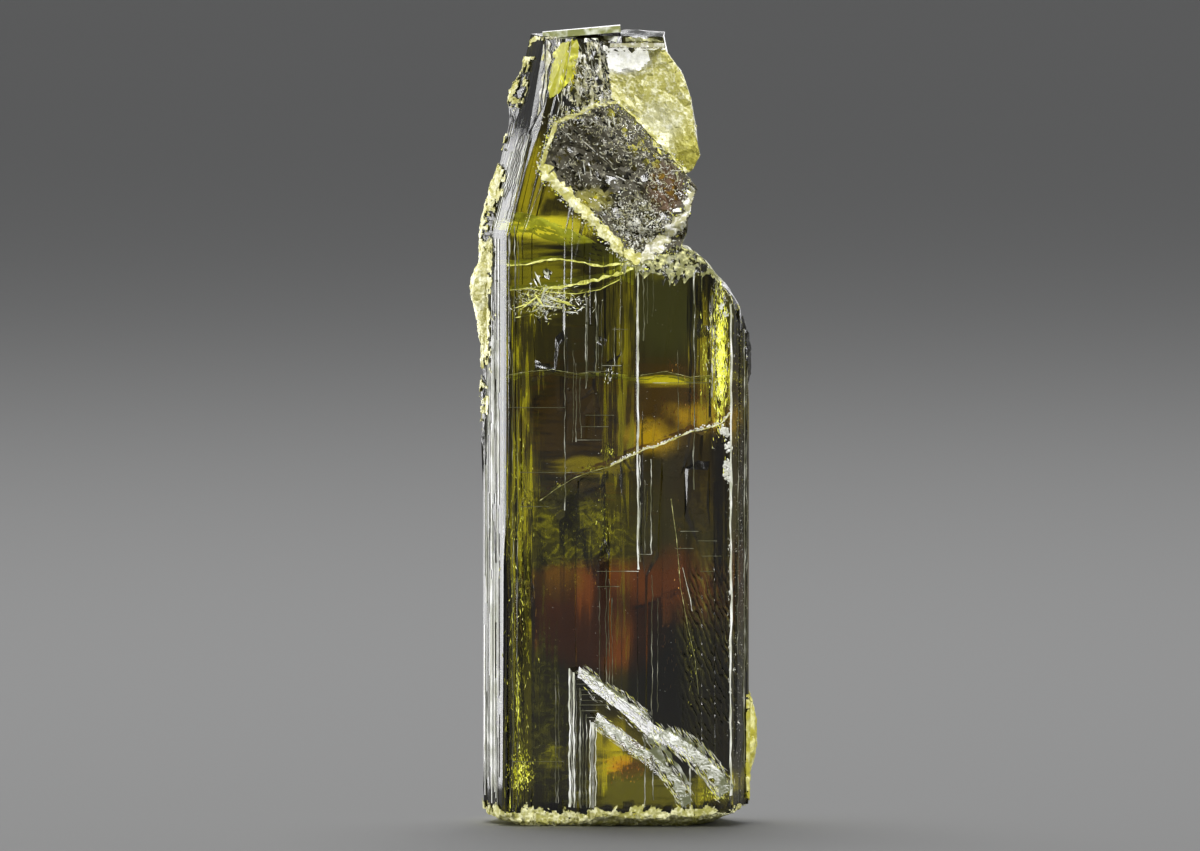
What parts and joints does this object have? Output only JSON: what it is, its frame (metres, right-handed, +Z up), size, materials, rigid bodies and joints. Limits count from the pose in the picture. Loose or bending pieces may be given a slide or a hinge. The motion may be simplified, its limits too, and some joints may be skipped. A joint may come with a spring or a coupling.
{
  "type": "epidote crystal",
  "caption": "Tall clear olive-green crystal prism with fine lengthwise striations, a broken leaning head with a rough pit, and a stepped growth low on its front; stands upright for display.",
  "frame": {"origin": "Centre of the box at the height of the foot", "axes": "+X to the viewer's right across the broad front face, -Y towards the viewer, +Z up along the prism"},
  "size_m": [0.015, 0.0064, 0.042],
  "materials": {
    "epidote": "polished"
  },
  "bodies": {
    "root": {"epidote_crystal": "epidote"}
  },
  "joints": []
}
